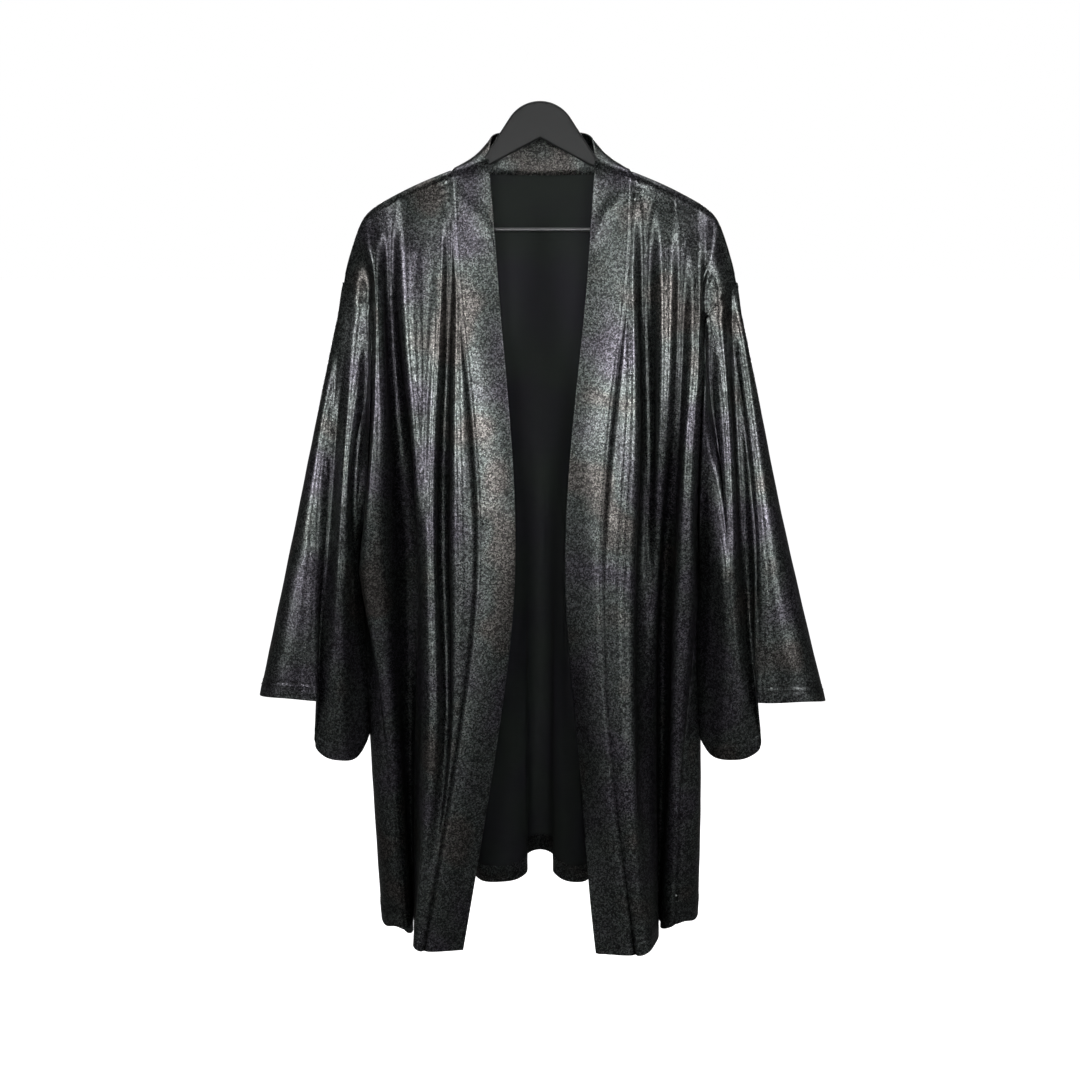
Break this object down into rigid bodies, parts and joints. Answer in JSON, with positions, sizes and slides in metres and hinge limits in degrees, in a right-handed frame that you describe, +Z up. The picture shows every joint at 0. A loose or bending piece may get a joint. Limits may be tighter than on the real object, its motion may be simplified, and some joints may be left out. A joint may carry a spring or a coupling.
{
  "type": "kimono robe on a hanger",
  "caption": "Open kimono robe of shimmering jersey with wide dropped sleeves, a continuous neck and front band and a fluted hem, hung on a plain flat hanger with a bar.",
  "frame": {"origin": "top of the hanger's round head, in the middle of its thickness, where the hanger is held", "axes": "+Z up, +X to the right as seen from the robe's open front, +Y from the front to the back"},
  "size_m": [0.685, 0.2292, 1.0088],
  "materials": {
    "foil_jersey": "black jersey with a fine crackled foil shimmer on its right side, matte dark green-grey on its wrong side",
    "satin_black": "smooth satin",
    "dark_metal": "satin"
  },
  "bodies": {
    "root": {"back": "foil_jersey", "front_right": "foil_jersey", "front_left": "foil_jersey", "sleeve_right": "foil_jersey", "sleeve_left": "foil_jersey", "neck_band": "foil_jersey", "hanger": "satin_black", "hanger_bar": "dark_metal"}
  },
  "joints": []
}
